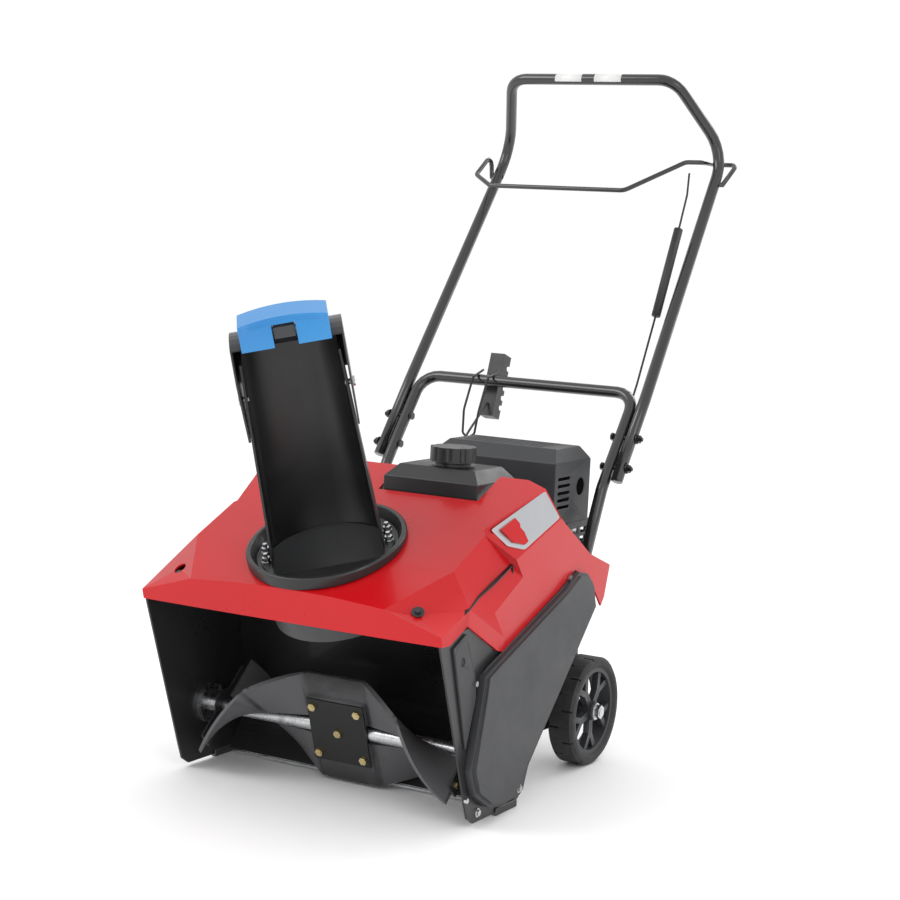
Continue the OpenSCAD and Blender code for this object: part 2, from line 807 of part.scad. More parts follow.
// Lock trigger that hinges on the grip's cross pin
module deflector_trigger() {
    color(satin) place() at_chute() translate([0, pivot_y, pivot_z]) difference() {
        translate([-14, -43, roof_r + 3]) cube([28, 13, 16]);
        bar_x(-20, 40, 2.06, -34, roof_r + 14);
    }
}

// ---------- handle ----------

bolt_hi = [108, 500.5];
bolt_lo = [75.5, 456];
foot_bolts = [[-18, 272], [-1, 309]];

module lower_handle() {
    half = [for (p = [[-30, 246], [52, 424], [75.5, 456], [160, 567]]) p];
    path = rounded(concat([for (p = half) [-lower_x, p[0], p[1]]],
        [for (i = [3:-1:0]) [lower_x, half[i][0], half[i][1]]]), [60, 300, 34, 34, 300, 60]);
    color(black) place() difference() {
        sweep(path, tube_r);
        for (p = concat([bolt_hi, bolt_lo], foot_bolts)) bar_x(-240, 480, 3.2, p[0], p[1]);
    }
}

grip_x = 153;
module upper_handle() {
    half = [[upper_x + 0.4, 62, 437], [upper_x + 0.4, 150, 557.8], [206, 446, 964],
        [grip_x, 340, bar_z]];
    path = rounded(concat([for (p = half) [-p[0], p[1], p[2]]],
        [for (i = [3:-1:0]) half[i]]), [60, 60, 40, 40, 60, 60], 6);
    color(black) place() difference() {
        sweep(path, tube_r);
        for (p = [bolt_hi, bolt_lo]) bar_x(-240, 480, 3.2, p[0], p[1]);
        bar_x(-240, 480, bail_r + 0.06, bail_y, bail_z);
    }
}

// Two hex bolts with flange nuts on each side join the two handle tubes
module handle_bolts() {
    color(steel) place() for (s = [-1, 1], p = [bolt_hi, bolt_lo])
        translate([s * (lower_x - tube_r - 1), p[0], p[1]]) rotate([0, 90 * s, 0]) {
            translate([0, 0, -4]) hex(11, 4.2);
            cylinder(d = 6.3, h = 2 * tube_d + 12);
            translate([0, 0, 2 * tube_d + 1.8]) {
                cylinder(r = 8, h = 1.6);
                hex(11, 7);
            }
        }
    color(steel) place() for (s = [-1, 1], p = foot_bolts)
        translate([s * rail_x, p[0], p[1]]) rotate([0, 90 * s, 0]) {
            translate([0, 0, -5]) hex(11, 5);
            cylinder(d = 6.3, h = tube_d + 8);
            translate([0, 0, tube_d + 3.2]) {
                cylinder(r = 8, h = 1.6);
                hex(11, 6);
            }
        }
}

bail_y = 409;
bail_z = 910;
bail_r = 4;
module bail() {
    out = 221.5;
    path = rounded([[-out, bail_y, bail_z], [-out, 404, 950], [-out, 352, 912],
        [-180, 328, 893], [78, 328, 893], [164, 382, 945], [186, 400, 946], [187, 457, 945],
        [out + 6, 453, 945], [out, bail_y, bail_z]],
        [12, 10, 12, 20, 20, 12, 10, 10], 3);
    color(black) place() {
        sweep(path, bail_r, 12);
        bar_x(-out - 2, 22, bail_r, bail_y, bail_z);
        bar_x(out - 20, 22, bail_r, bail_y, bail_z);
    }
}

cable_route = [[176, 372, 926], [183, 352, 890], [188, 318, 840], [189, 240, 692], [185, 190, 580],
    [181, 110, 440], [180, 40, 345], [178, -60, 290]];
module control_cable() {
    color(satin) place() {
        sweep(cable_route, 1.8, 8);
        sweep([[188, 313, 832], [189, 240, 690]], 7.5, 12);
    }
}

grip_at = [-75, 190, 556];
module starter_grip() {
    color(black) place() translate(grip_at) rotate([-18, 0, 0]) difference() {
        translate([-13, -13, -54]) cube([26, 26, 108]);
        for (i = [0:4]) translate([-20, 10, -34 + 17 * i]) rotate([0, 90, 0]) cylinder(r = 5, h = 40);
    }
}

module starter_rope() {
    color(satin) place() sweep([[-75, 165.8, 529.35], [-75, 108, 486], [-82, 20, 400], [-100, -68, 312]], 2, 8);
}

// Wire loop on the crossbar that keeps the starter rope in reach
module rope_guide() {
    half = [[14, 172, 583], [14, 138, 573], [14, 112, 520], [11, 106, 482]];
    color(steel) place() translate([-75, 0, 0]) sweep(rounded(concat(half, [[0, 104, 474]],
        [for (i = [3:-1:0]) [-half[i][0], half[i][1], half[i][2]]]), [8, 20, 6, 6, 6, 20, 8], 3), 2, 8);
}

auger_housing();
left_side_plate();
right_side_plate();
housing_bolts();
scraper();
scraper_bolts();
left_skid();
right_skid();
chute_funnel();
chute_ring();
hood();
hood_screws();
decal_plate();
front_side_panel();
belt_cover();
belt_cover_screws();
chassis_rails();
engine_deck();
axle();
left_tyre();
right_tyre();
left_rim();
right_rim();
axle_nuts();
rotor_shaft();
paddle_front();
paddle_rear();
centre_plates();
rotor_end_plates();
rotor_bolts();
rotor_bearings();
rotor_pulley();
crankshaft();
crank_pulley();
flywheel();
drive_belt();
idler_arm();
idler_pulley();
engine_block();
engine_cylinder();
engine_shroud();
recoil_housing();
muffler();
muffler_guard();
fuel_tank();
fuel_cap();
engine_controls();
chute();
chute_bolts();
deflector();
deflector_handle();
deflector_trigger();
lower_handle();
upper_handle();
handle_bolts();
bail();
control_cable();
starter_grip();
starter_rope();
rope_guide();
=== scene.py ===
import bpy, bmesh, json, math
from mathutils import Matrix, Vector


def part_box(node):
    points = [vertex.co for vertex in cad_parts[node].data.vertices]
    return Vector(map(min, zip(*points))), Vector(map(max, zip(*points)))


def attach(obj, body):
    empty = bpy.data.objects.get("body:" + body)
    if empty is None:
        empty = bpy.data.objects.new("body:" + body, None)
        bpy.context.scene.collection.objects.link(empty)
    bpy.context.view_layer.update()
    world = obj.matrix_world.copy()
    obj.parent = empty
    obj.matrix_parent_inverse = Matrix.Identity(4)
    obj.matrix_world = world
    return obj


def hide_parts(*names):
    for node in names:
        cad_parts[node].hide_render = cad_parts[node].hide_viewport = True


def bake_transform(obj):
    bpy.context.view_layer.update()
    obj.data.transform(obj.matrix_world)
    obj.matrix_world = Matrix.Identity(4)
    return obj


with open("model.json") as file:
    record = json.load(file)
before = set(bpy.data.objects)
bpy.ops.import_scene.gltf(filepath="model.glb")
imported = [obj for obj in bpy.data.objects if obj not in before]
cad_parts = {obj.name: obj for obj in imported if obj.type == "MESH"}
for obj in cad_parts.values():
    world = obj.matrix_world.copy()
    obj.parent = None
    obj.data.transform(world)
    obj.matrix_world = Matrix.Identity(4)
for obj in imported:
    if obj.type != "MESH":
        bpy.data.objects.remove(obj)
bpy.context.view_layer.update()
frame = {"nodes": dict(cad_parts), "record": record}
scene = bpy.context.scene
NODES = frame["nodes"]
REC = frame["record"]
BODY_OF = {n: b for b, ns in REC["behaviour"]["bodies"].items() for n in ns}
SLOT_OF = {s["node"]: s["material_slot"] for s in REC["subparts"]}

# the wheel axle is the reference for every piece placed below
axle_lo, axle_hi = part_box("axle")
OX = (axle_lo.x + axle_hi.x) / 2
OY = (axle_lo.y + axle_hi.y) / 2


def at(x, y, z):
    """A place given in millimetres from the middle plane, the wheel axle and the ground."""
    return Vector((OX + x / 1000, OY + y / 1000, z / 1000))


# ---------------------------------------------------------------- camera and light
def make_camera():
    """The camera stands in front, to the right, a little above the chute."""
    az, el, roll = math.radians(29.588), math.radians(6.383), math.radians(2.765)
    right0 = Vector((math.cos(az), math.sin(az), 0))
    back = Vector((math.sin(az) * math.cos(el), -math.cos(az) * math.cos(el), math.sin(el)))
    up0 = back.cross(right0)
    right = math.cos(roll) * right0 + math.sin(roll) * up0
    up = -math.sin(roll) * right0 + math.cos(roll) * up0
    cam = bpy.data.cameras.new("camera")
    cam.lens, cam.sensor_width = 80.3, 36
    cam.clip_start, cam.clip_end = 0.05, 100
    ob = bpy.data.objects.new("camera", cam)
    scene.collection.objects.link(ob)
    ob.matrix_world = Matrix.Translation(at(1525.5, -2771.4, 820.9)) @ Matrix((
        (right.x, up.x, back.x), (right.y, up.y, back.y), (right.z, up.z, back.z))).to_4x4()
    scene.camera = ob


def area(name, loc, target, size, power):
    """A soft rectangular light aimed at a target."""
    light = bpy.data.lights.new(name, "AREA")
    light.shape, light.size, light.size_y = "RECTANGLE", size[0], size[1]
    light.energy = power
    ob = bpy.data.objects.new(name, light)
    scene.collection.objects.link(ob)
    ob.location = loc
    ob.rotation_mode = "QUATERNION"
    ob.rotation_quaternion = (Vector(target) - Vector(loc)).to_track_quat("-Z", "Y")


# ---------------------------------------------------------------- materials
class Nodes:
    """Small helper for building one node material."""

    def __init__(self, name):
        self.mat = bpy.data.materials.new(name)
        self.mat.use_nodes = True
        self.t = self.mat.node_tree
        self.t.nodes.clear()
        self.out = self.add("ShaderNodeOutputMaterial")
        self.bsdf = self.add("ShaderNodeBsdfPrincipled")
        self.t.links.new(self.bsdf.outputs[0], self.out.inputs[0])
        self.coord = self.add("ShaderNodeTexCoord").outputs["Object"]

    def add(self, kind, **props):
        n = self.t.nodes.new(kind)
        for k, v in props.items():
            setattr(n, k, v)
        return n

    def link(self, a, b):
        self.t.links.new(a, b)

    def noise(self, scale, detail=3.0, rough=0.5, stretch=None):
        n = self.add("ShaderNodeTexNoise")
        n.inputs["Scale"].default_value = scale
        n.inputs["Detail"].default_value = detail
        n.inputs["Roughness"].default_value = rough
        if stretch:
            m = self.add("ShaderNodeMapping")
            m.inputs["Scale"].default_value = stretch
            self.link(self.coord, m.inputs["Vector"])
            self.link(m.outputs[0], n.inputs["Vector"])
        else:
            self.link(self.coord, n.inputs["Vector"])
        return n.outputs["Fac"]

    def ramp(self, fac, stops):
        r = self.add("ShaderNodeValToRGB")
        els = r.color_ramp.elements
        while len(els) < len(stops):
            els.new(0.5)
        for e, (p, c) in zip(els, stops):
            e.position = p
            e.color = (*c, 1) if len(c) == 3 else c
        self.link(fac, r.inputs[0])
        return r.outputs[0]

    def mix(self, fac, a, b):
        m = self.add("ShaderNodeMix", data_type="RGBA")
        self.link(fac, m.inputs[0])
        for sock, v in ((m.inputs[6], a), (m.inputs[7], b)):
            if hasattr(v, "links"):
                self.link(v, sock)
            else:
                sock.default_value = (*v, 1)
        return m.outputs[2]

    def span(self, fac, lo, hi):
        m = self.add("ShaderNodeMapRange")
        m.inputs["From Min"].default_value, m.inputs["From Max"].default_value = 0.3, 0.7
        m.inputs["To Min"].default_value, m.inputs["To Max"].default_value = lo, hi
        self.link(fac, m.inputs[0])
        return m.outputs[0]

    def bump(self, heights):
        last = None
        for fac, strength, dist in heights:
            b = self.add("ShaderNodeBump")
            b.inputs["Strength"].default_value = strength
            b.inputs["Distance"].default_value = dist
            self.link(fac, b.inputs["Height"])
            if last is not None:
                self.link(last, b.inputs["Normal"])
            last = b.outputs[0]
        self.link(last, self.bsdf.inputs["Normal"])

    def edge(self, lo, hi):
        """White on worn outside edges, from the mesh's own curvature."""
        g = self.add("ShaderNodeNewGeometry")
        m = self.add("ShaderNodeMapRange")
        m.inputs["From Min"].default_value, m.inputs["From Max"].default_value = lo, hi
        self.link(g.outputs["Pointiness"], m.inputs[0])
        return m.outputs[0]

    def set(self, **values):
        for k, v in values.items():
            self.bsdf.inputs[k.replace("_", " ")].default_value = v


def paint(name, a, b, rough, coat=0.0, flake=260, orange=0.05, wear=None, gloss=0.5):
    """Sprayed or powder coated metal: slow tone drift, orange-peel bump, worn edges."""
    n = Nodes(name)
    tone = n.ramp(n.noise(2.2, 4), [(0.3, a), (0.7, b)])
    if wear:
        tone = n.mix(n.edge(0.56, 0.68), tone, wear)
    n.link(tone, n.bsdf.inputs["Base Color"])
    n.link(n.span(n.noise(9, 6, 0.65), rough[0], rough[1]), n.bsdf.inputs["Roughness"])
    n.bump([(n.noise(flake, 2), orange, 0.0006), (n.noise(5, 2), 0.04, 0.004)])
    n.set(Coat_Weight=coat, Coat_Roughness=0.06, Specular_IOR_Level=gloss)
    return n.mat


def plastic(name, a, b, rough, grain=900, depth=0.25, wear=None, coat=0.0):
    """Moulded plastic with a fine spark-eroded grain and scuffed edges."""
    n = Nodes(name)
    tone = n.ramp(n.noise(3.5, 5), [(0.32, a), (0.68, b)])
    if wear:
        tone = n.mix(n.edge(0.55, 0.70), tone, wear)
    n.link(tone, n.bsdf.inputs["Base Color"])
    n.link(n.span(n.noise(14, 6, 0.7), rough[0], rough[1]), n.bsdf.inputs["Roughness"])
    n.bump([(n.noise(grain, 2), depth, 0.00035), (n.noise(18, 3), 0.05, 0.001)])
    n.set(Coat_Weight=coat, Coat_Roughness=0.15)
    return n.mat


def metal(name, a, b, rough, stretch=(1, 1, 1), grain=180, depth=0.12, dirt=None):
    """Plated, cast or brushed metal; stretch makes the brushing run one way."""
    n = Nodes(name)
    tone = n.ramp(n.noise(6, 5), [(0.3, a), (0.7, b)])
    if dirt:
        tone = n.mix(n.ramp(n.noise(22, 6, 0.7), [(0.52, (0, 0, 0)), (0.66, (1, 1, 1))]), tone, dirt)
    n.link(tone, n.bsdf.inputs["Base Color"])
    n.link(n.span(n.noise(grain, 4, 0.6, stretch), rough[0], rough[1]), n.bsdf.inputs["Roughness"])
    n.bump([(n.noise(grain * 2, 3, 0.6, stretch), depth, 0.0003)])
    n.set(Metallic=1.0)
    return n.mat


def rubber(name, a, b, rough, dust=None, grain=420):
    """Moulded rubber, matt, with dust that settles in patches."""
    n = Nodes(name)
    tone = n.ramp(n.noise(5, 5), [(0.3, a), (0.7, b)])
    if dust:
        tone = n.mix(n.ramp(n.noise(30, 6, 0.7), [(0.45, (0, 0, 0)), (0.75, (0.5, 0.5, 0.5))]), tone, dust)
        tone = n.mix(n.edge(0.54, 0.66), tone, dust)
    n.link(tone, n.bsdf.inputs["Base Color"])
    n.link(n.span(n.noise(20, 6, 0.7), rough[0], rough[1]), n.bsdf.inputs["Roughness"])
    n.bump([(n.noise(grain, 3), 0.35, 0.0005), (n.noise(40, 4), 0.12, 0.0012)])
    return n.mat


def woven(name, a, b):
    """Braided cord: one set of diagonal waves."""
    n = Nodes(name)
    w1 = n.add("ShaderNodeTexWave", bands_direction="DIAGONAL")
    w1.inputs["Scale"].default_value = 260
    n.link(n.coord, w1.inputs["Vector"])
    n.link(n.ramp(w1.outputs["Fac"], [(0.35, a), (0.65, b)]), n.bsdf.inputs["Base Color"])
    n.link(n.span(n.noise(60, 4), 0.7, 0.9), n.bsdf.inputs["Roughness"])
    n.bump([(w1.outputs["Fac"], 0.6, 0.0006)])
    return n.mat


MATS = {
    "hood_red": paint("hood_red", (0.46, 0.002, 0.005), (0.54, 0.003, 0.007), (0.26, 0.38), coat=0.15,
                      flake=300, orange=0.05, wear=(0.62, 0.03, 0.035), gloss=0.32),
    "black_metal": paint("black_metal", (0.005, 0.005, 0.006), (0.010, 0.010, 0.011), (0.24, 0.40),
                         coat=0.1, gloss=0.35, flake=380, orange=0.10, wear=(0.05, 0.05, 0.052)),
    "handle_black": paint("handle_black", (0.009, 0.009, 0.010), (0.016, 0.016, 0.017), (0.16, 0.28),
                          coat=0.5, flake=420, orange=0.06, wear=(0.03, 0.03, 0.03)),
    "black_plastic": plastic("black_plastic", (0.010, 0.010, 0.011), (0.019, 0.019, 0.020), (0.30, 0.46),
                             wear=(0.045, 0.045, 0.048)),
    "grey_cover": plastic("grey_cover", (0.026, 0.027, 0.030), (0.038, 0.039, 0.043), (0.42, 0.58),
                          depth=0.4, wear=(0.085, 0.087, 0.09)),
    "tyre_rubber": rubber("tyre_rubber", (0.012, 0.012, 0.013), (0.024, 0.024, 0.025), (0.62, 0.82),
                          dust=(0.06, 0.058, 0.055)),
    "paddle_rubber": rubber("paddle_rubber", (0.018, 0.018, 0.020), (0.034, 0.034, 0.037), (0.5, 0.7),
                            dust=(0.10, 0.10, 0.105)),
    "skid_rubber": plastic("skid_rubber", (0.014, 0.014, 0.015), (0.026, 0.026, 0.027), (0.5, 0.7),
                           wear=(0.12, 0.12, 0.12)),
    "belt_rubber": rubber("belt_rubber", (0.012, 0.012, 0.012), (0.022, 0.022, 0.022), (0.6, 0.8)),
    "cord_black": rubber("cord_black", (0.012, 0.012, 0.013), (0.022, 0.022, 0.023), (0.4, 0.6)),
    "zinc_steel": metal("zinc_steel", (0.55, 0.56, 0.58), (0.68, 0.69, 0.70), (0.22, 0.40),
                        stretch=(6, 1, 1), dirt=(0.32, 0.31, 0.29)),
    "brass_bolt": metal("brass_bolt", (0.62, 0.50, 0.25), (0.74, 0.62, 0.34), (0.25, 0.42),
                        dirt=(0.36, 0.28, 0.14)),
    "cast_alloy": metal("cast_alloy", (0.40, 0.41, 0.42), (0.52, 0.53, 0.54), (0.5, 0.68),
                        grain=240, depth=0.5, dirt=(0.20, 0.20, 0.20)),
    "grip_blue": plastic("grip_blue", (0.008, 0.20, 0.52), (0.014, 0.27, 0.62), (0.26, 0.40), grain=700,
                         depth=0.15, wear=(0.10, 0.30, 0.62), coat=0.2),
    "label_silver": metal("label_silver", (0.46, 0.47, 0.49), (0.60, 0.61, 0.63), (0.30, 0.44),
                          stretch=(1, 14, 1), grain=220, depth=0.08),
    "rope_fabric": woven("rope_fabric", (0.02, 0.02, 0.022), (0.12, 0.12, 0.125)),
    "label_white": plastic("label_white", (0.68, 0.68, 0.67), (0.76, 0.76, 0.75), (0.35, 0.5), depth=0.08),
}

# ---------------------------------------------------------------- pieces made from the CAD
TUBES = {"lower_handle", "upper_handle", "bail", "control_cable", "rope_guide", "paddle_front",
         "paddle_rear"}
BEVEL_MM = {"fuel_tank": 6, "engine_shroud": 1.8, "belt_cover": 2.5, "front_side_panel": 1.2,
            "chute_ring": 1.5, "recoil_housing": 3, "deflector_handle": 3, "fuel_cap": 1.5,
            "engine_block": 2, "muffler": 6, "muffler_guard": 1.5, "left_skid": 1.5, "right_skid": 1.5,
            "left_tyre": 1.0, "right_tyre": 1.0, "left_rim": 1.2, "right_rim": 1.2, "starter_grip": 3,
            "engine_cylinder": 1.0, "deflector_trigger": 1.5, "centre_plates": 0.6, "chute": 0.8}


def finish_mesh(ob, body, slot, replaced=()):
    """Gives a piece its slot's material and its body, and hides the CAD nodes it stands for."""
    ob.data.materials.clear()
    ob.data.materials.append(MATS[slot])
    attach(ob, body)
    if replaced:
        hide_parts(*replaced)
    return ob


def new_object(name, bm, smooth=None):
    """An object from a bmesh, shaded smooth below the given angle in degrees."""
    me = bpy.data.meshes.new(name)
    bm.to_mesh(me)
    bm.free()
    ob = bpy.data.objects.new(name, me)
    scene.collection.objects.link(ob)
    if smooth is not None:
        me.shade_smooth()
        me.set_sharp_from_angle(angle=math.radians(smooth))
    return ob


def soften(node, width):
    """A copy of a CAD node with rounded edges and smooth curved faces."""
    bm = bmesh.new()
    bm.from_mesh(NODES[node].data)
    bmesh.ops.remove_doubles(bm, verts=bm.verts, dist=2e-6)
    bmesh.ops.dissolve_limit(bm, angle_limit=math.radians(1.0), verts=bm.verts, edges=bm.edges)
    ob = new_object(node + "_soft", bm, 33)
    bev = ob.modifiers.new("edges", "BEVEL")
    bev.width, bev.segments, bev.limit_method = width / 1000, 2, "ANGLE"
    bev.angle_limit = math.radians(28)
    bev.harden_normals = True
    bev.use_clamp_overlap = True
    bev.miter_outer = "MITER_ARC"
    return finish_mesh(ob, BODY_OF[node], SLOT_OF[node], [node])


def rewrap(node):
    """A CAD node kept as it is, with its slot's material."""
    ob = NODES[node]
    ob.data.materials.clear()
    ob.data.materials.append(MATS[SLOT_OF[node]])


def paid_out_rope():
    """The starter rope as a copy of its CAD node, shaded smooth, with its slot's material."""
    bm = bmesh.new()
    bm.from_mesh(NODES["starter_rope"].data)
    bmesh.ops.remove_doubles(bm, verts=bm.verts, dist=2e-6)
    ob = new_object("starter_rope_soft", bm, 42)
    ob.data.materials.clear()
    ob.data.materials.append(MATS[SLOT_OF["starter_rope"]])
    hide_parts("starter_rope")
    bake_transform(ob)


REPLACED = {"hood", "decal_plate"}
for node in sorted(NODES):
    if node == "starter_rope":
        paid_out_rope()
        continue
    if node in REPLACED:
        rewrap(node)
        continue
    if node in TUBES:
        bm = bmesh.new()
        bm.from_mesh(NODES[node].data)
        bmesh.ops.remove_doubles(bm, verts=bm.verts, dist=2e-6)
        finish_mesh(new_object(node + "_soft", bm, 42), BODY_OF[node], SLOT_OF[node], [node])
    elif node in BEVEL_MM:
        soften(node, BEVEL_MM[node])
    else:
        rewrap(node)

# ---------------------------------------------------------------- the hood
# the chute ring and, in the chute's axes, the deflector's pivot and the top of its grip
RING_Y, RING_Z, RING_TILT = -422, 366, 22
PIVOT_Y, PIVOT_Z, GRIP_TOP = -15, 246, 127
CHUTE_TURN = 35
HOOD_HALF = [
    ("c0", 0, -524.3, 316.3), ("c8", 80, -524.3, 314.8), ("c16", 160, -524, 309.5), ("K", 248, -520.5, 283),
    ("b0", 0, -519, 268.8), ("b8", 80, -519, 268.8), ("b16", 160, -518.6, 268.8), ("bK", 248, -516.5, 268.8),
    ("m1", 0, -437, 356.8), ("m2", 0, -213, 461), ("P1", 215, -437, 356.8), ("P2", 240, -430, 306),
    ("P3", 248, -375, 295), ("P4", 248, -344, 256), ("P5", 247.6, -318, 362), ("P6", 214, -352, 396.4),
    ("P7", 205, -340, 402), ("R", 248, -296, 335), ("E1", 206, -213, 461),
    ("E2", 242, -229, 453.5), ("E3", 248, -185, 407),
    ("E4", 248, -163, 393), ("E5", 248, -82, 343), ("E6", 248, -9.5, 317.5), ("S1", 248, -179, 319),
    ("n1", 248, -495, 268.8), ("n2", 248, -450, 288), ("n3", 248, -361, 240), ("T", 248, -347, 236.5),
    ("u1", 248, -177, 302), ("u2", 248, -130, 324.5), ("u3", 248, -80, 303), ("u4", 248, -55, 280),
    ("u5", 248, -34, 257), ("u6", 248, -24, 270)]
HOOD_FACES = [
    "b0 b8 c8 c0", "b8 b16 c16 c8", "b16 bK K c16", "c16 K P2 P1", "c0 c8 c16 P1 m1", "m1 P1 P6 P7 E1 m2",
    "K bK n1 n2 P2", "P2 n2 n3 T P4", "P1 P2 P4 P3", "P1 P3 R P5 P6", "P6 P5 E3 E2 P7", "P7 E2 E1",
    "P3 P4 S1 R", "R S1 E5 E4 E3 P5", "P4 T u1 S1", "S1 u1 u2 E5", "E5 u2 u3 u4 E6", "E6 u4 u5 u6"]


def make_hood():
    """The hood as a folded sheet: one side's points mirrored, with the ring, tank and screw holes cut."""
    bm = bmesh.new()
    side = {}
    for s in (1, -1):
        for name, x, y, z in HOOD_HALF:
            key = (name, 1 if x == 0 else s)
            if key not in side:
                side[key] = bm.verts.new(at(s * x, y, z))
    for s in (1, -1):
        for f in HOOD_FACES:
            loop = [side.get((n, s)) or side[(n, 1)] for n in f.split()]
            bm.faces.new(loop if s > 0 else loop[::-1])
    bmesh.ops.recalc_face_normals(bm, faces=bm.faces)
    up = sum(f.normal.z for f in bm.faces)
    if up < 0:
        bmesh.ops.reverse_faces(bm, faces=bm.faces)
    ob = new_object("hood_shell", bm)
    sol = ob.modifiers.new("sheet", "SOLIDIFY")
    sol.thickness, sol.offset = 0.003, -1
    sol.use_even_offset = False
    cutters = []
    cut = bmesh.new()
    bmesh.ops.create_cone(cut, cap_ends=True, segments=96, radius1=0.1060, radius2=0.1060, depth=0.12)
    bmesh.ops.transform(cut, verts=cut.verts, matrix=Matrix.Translation(at(0, RING_Y, RING_Z))
                        @ Matrix.Rotation(math.radians(RING_TILT), 4, "X"))
    cutters.append(new_object("cut_ring", cut))
    cut = bmesh.new()
    bmesh.ops.create_cube(cut, size=1)
    for v in cut.verts:
        v.co = at(75 + 168 * v.co.x, -231 + 92 * v.co.y, 430 + 100 * v.co.z)
    cutters.append(new_object("cut_tank", cut))
    for s in (-1, 1):
        cut = bmesh.new()
        bmesh.ops.create_cone(cut, cap_ends=True, segments=40, radius1=0.0095, radius2=0.0095, depth=0.03)
        bmesh.ops.transform(cut, verts=cut.verts, matrix=Matrix.Translation(at(s * 200, -500, 320))
                            @ Matrix.Rotation(math.radians(s * 20), 4, "Y")
                            @ Matrix.Rotation(math.radians(25), 4, "X"))
        cutters.append(new_object("cut_screw_" + ("l" if s < 0 else "r"), cut))
    for c in cutters:
        mod = ob.modifiers.new("cut", "BOOLEAN")
        mod.object, mod.operation, mod.solver = c, "DIFFERENCE", "EXACT"
    bpy.context.view_layer.update()
    dg = bpy.context.evaluated_depsgraph_get()
    me = bpy.data.meshes.new_from_object(ob.evaluated_get(dg))
    ob.modifiers.clear()
    ob.data = me
    for c in cutters:
        bpy.data.objects.remove(c)
    me.shade_smooth()
    me.set_sharp_from_angle(angle=math.radians(24))
    bev = ob.modifiers.new("edges", "BEVEL")
    bev.width, bev.segments, bev.limit_method = 0.0016, 3, "ANGLE"
    bev.angle_limit = math.radians(9)
    bev.harden_normals = True
    finish_mesh(ob, "frame", "hood_red", ["hood"])
    return ob


make_hood()

# ---------------------------------------------------------------- small moulded details
def tube(name, pts, r, body, slot, closed=False):
    """A round bead or rod through the given points, as a mesh."""
    cu = bpy.data.curves.new(name, "CURVE")
    cu.dimensions, cu.bevel_depth, cu.bevel_resolution = "3D", r / 1000, 2
    sp = cu.splines.new("POLY")
    sp.points.add(len(pts) - 1)
    for q, p in zip(sp.points, pts):
        q.co = (*p, 1)
    sp.use_cyclic_u = closed
    cu.use_fill_caps = True
    tmp = bpy.data.objects.new(name + "_path", cu)
    scene.collection.objects.link(tmp)
    bpy.context.view_layer.update()
    me = bpy.data.meshes.new_from_object(tmp.evaluated_get(bpy.context.evaluated_depsgraph_get()))
    bpy.data.objects.remove(tmp)
    ob = bpy.data.objects.new(name, me)
    scene.collection.objects.link(ob)
    me.shade_smooth()
    return finish_mesh(ob, body, slot)


def rounded_outline(pts, r, steps=5):
    """The outline with each corner turned into an arc-like curve of about radius r."""
    out = []
    n = len(pts)
    for i in range(n):
        p, a, b = Vector(pts[i]), Vector(pts[i - 1]), Vector(pts[(i + 1) % n])
        ra = min(r, (a - p).length * 0.45)
        rb = min(r, (b - p).length * 0.45)
        s, e = p + (a - p).normalized() * ra, p + (b - p).normalized() * rb
        for k in range(steps + 1):
            t = k / steps
            q = s * (1 - t) ** 2 + p * 2 * t * (1 - t) + e * t ** 2
            out.append((q.x, q.y))
    return out


def inset(pts, f, c):
    """The outline scaled by f about the point c."""
    return [(c[0] + (y - c[0]) * f, c[1] + (z - c[1]) * f) for y, z in pts]


LEAF = [(-436, 84), (-420, 48), (-379, 23), (-340, 16), (-301, 30), (-286, 56), (-129, 212), (-86, 258),
        (-77, 275), (-84, 300), (-104, 317), (-131, 322), (-176, 300), (-387, 221), (-408, 212), (-413, 184)]
leaf_mid = (-262, 175)
cover_lo, cover_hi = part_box("belt_cover")
COVER_X = (cover_hi.x - OX) * 1000
loop = rounded_outline(inset(LEAF, 0.925, leaf_mid), 16)
tube("belt_cover_bead", [at(COVER_X - 1.4, y, z) for y, z in loop], 1.3, "frame", "grey_cover", closed=True)
loop = rounded_outline(inset(LEAF, 0.985, leaf_mid), 12)
tube("belt_cover_flange", [at(COVER_X - 14, y, z) for y, z in loop], 2.0, "frame", "grey_cover", closed=True)

panel_lo, panel_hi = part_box("front_side_panel")
PANEL_X = (panel_hi.x - OX) * 1000
panel = rounded_outline(inset([(-486, 262), (-452, 278), (-424, 216), (-418, 184), (-440, 116)], 0.93,
                              (-448, 215)), 12)
tube("front_panel_bead", [at(PANEL_X - 0.8, y, z) for y, z in panel], 1.4, "frame", "grey_cover", closed=True)

# long ribs on the engine cover
sh_lo, sh_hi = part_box("engine_shroud")
for i in range(4):
    y = (sh_lo.y - OY) * 1000 + 34 + 18 * i
    z = sh_hi.z * 1000
    rib = [(-14, z - 1.6), (-8, z - 0.6), (128, z - 0.6), (134, z - 1.6)]
    tube("shroud_rib_%d" % i, [at(x, y, h) for x, h in rib], 1.8, "frame", "grey_cover")

# moulded ribs across the front of the blue grip, in the deflector's own axes
def at_deflector(x, y, z):
    """A place in the deflector's axes (origin on its pivot) turned into the row frame."""
    c, t = math.cos(math.radians(RING_TILT)), math.sin(math.radians(RING_TILT))
    y, z = y + PIVOT_Y, z + PIVOT_Z
    turn = math.radians(CHUTE_TURN)
    x, y = x * math.cos(turn) - y * math.sin(turn), x * math.sin(turn) + y * math.cos(turn)
    return at(x, RING_Y + y * c - z * t, RING_Z + y * t + z * c)


GRIP_CROWN_R = 262
for i in range(3):
    pts = []
    for x in range(-54, 55, 9):
        crown = math.sqrt(GRIP_CROWN_R ** 2 - x ** 2) - GRIP_CROWN_R
        pts.append(at_deflector(x, -45.6, GRIP_TOP - 2.4 - 3.2 * i + crown))
    tube("grip_rib_%d" % i, pts, 0.9, "deflector_body", "grip_blue")

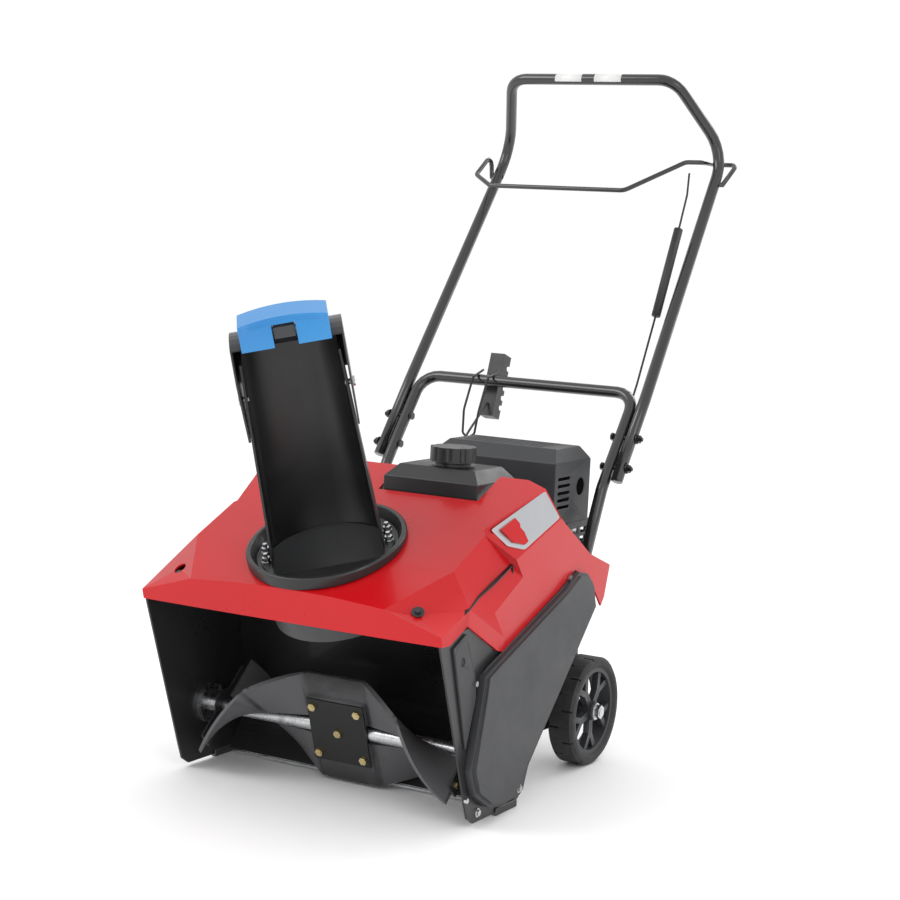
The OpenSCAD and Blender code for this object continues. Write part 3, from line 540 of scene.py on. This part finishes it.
# two plain white labels wrapped on the top bar
hb_lo, hb_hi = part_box("upper_handle")
BAR_Y, BAR_Z = 340, hb_hi.z * 1000 - 9.5
LABEL_R = 9.55


def sleeve(name, x0, x1):
    """A thin plain label on the front of the top bar, from x0 to x1."""
    bm = bmesh.new()
    rows = []
    for x in (x0, x1):
        arc = [math.radians(a) for a in range(104, 209, 8)]
        rows.append([bm.verts.new(at(x, BAR_Y + LABEL_R * math.cos(a), BAR_Z + LABEL_R * math.sin(a)))
                     for a in arc])
    for i in range(len(rows[0]) - 1):
        bm.faces.new((rows[0][i], rows[0][i + 1], rows[1][i + 1], rows[1][i]))
    ob = new_object(name, bm, 60)
    sol = ob.modifiers.new("sheet", "SOLIDIFY")
    sol.thickness, sol.offset = 0.0002, 0
    finish_mesh(ob, "frame", "handle_black")
    ob.data.materials[0] = MATS["label_white"]
    return ob


sleeve("bar_label_left", -65, -15)
sleeve("bar_label_right", 9, 59)

# plain metal plate on the right shoulder, with a red field at its front end
SHOULDER = [(206, -338, 402), (242, -229, 453.5), (248, -185, 407), (247.6, -318, 362)]


def shoulder(u, v, lift):
    """A place on the shoulder's face, lifted off it by some millimetres."""
    a, b, c, d = (Vector(p) for p in SHOULDER)
    p = a * (1 - u) * (1 - v) + b * u * (1 - v) + c * u * v + d * (1 - u) * v
    n = (b - a + c - d).cross(d - a + c - b).normalized()
    if n.x < 0:
        n = -n
    q = p + n * lift
    return at(q.x, q.y, q.z)


def patch(name, uv, lift, thick, slot, replaced=()):
    """A plate on the shoulder from an outline in the shoulder's own 0 to 1 coordinates."""
    bm = bmesh.new()
    low = [bm.verts.new(shoulder(u, v, lift - thick)) for u, v in uv]
    top = [bm.verts.new(shoulder(u, v, lift)) for u, v in uv]
    bm.faces.new(low)
    bm.faces.new(top[::-1])
    n = len(uv)
    for i in range(n):
        bm.faces.new((low[i], top[i], top[(i + 1) % n], low[(i + 1) % n]))
    bmesh.ops.recalc_face_normals(bm, faces=bm.faces)
    ob = new_object(name, bm, 33)
    bev = ob.modifiers.new("edges", "BEVEL")
    bev.width, bev.segments = 0.0004, 2
    bev.harden_normals = True
    return finish_mesh(ob, "frame", slot, replaced)


DECAL = [(0.05, 0.08), (0.975, 0.04), (0.975, 0.95), (0.20, 0.95), (0.05, 0.62)]
patch("decal_metal", rounded_outline(DECAL, 0.05), 0.9, 1.6, "label_silver", ["decal_plate"])
patch("decal_field", [(0.14, 0.20), (0.40, 0.17), (0.40, 0.83), (0.25, 0.85), (0.14, 0.62)],
      3.2, 2.4, "hood_red")

# ---------------------------------------------------------------- stage
make_camera()
floor_mesh = bmesh.new()
bmesh.ops.create_grid(floor_mesh, x_segments=1, y_segments=1, size=60)
floor = new_object("floor", floor_mesh)
floor.location = (0, 0, -0.0005)
fn = Nodes("floor_pale")
fn.link(fn.ramp(fn.noise(1.5, 3), [(0.3, (0.965, 0.965, 0.965)), (0.7, (0.985, 0.985, 0.985))]),
        fn.bsdf.inputs["Base Color"])
fn.link(fn.span(fn.noise(30, 3), 0.6, 0.75), fn.bsdf.inputs["Roughness"])
fn.bump([(fn.noise(200, 2), 0.02, 0.0005)])
floor.data.materials.append(fn.mat)

world = bpy.data.worlds.new("studio")
scene.world = world
world.use_nodes = True
world.node_tree.nodes["Background"].inputs[0].default_value = (1, 1, 1, 1)
world.node_tree.nodes["Background"].inputs[1].default_value = 1.04
area("key", (-2.6, -2.6, 3.4), (0, -0.1, 0.4), (2.2, 2.2), 60)
area("fill", (3.4, -2.2, 2.2), (0, 0, 0.4), (2.0, 2.4), 24)
area("back", (0.8, 3.2, 2.8), (0, 0, 0.5), (2.6, 1.6), 40)
scene.view_settings.view_transform = "Standard"
scene.view_settings.look = "None"
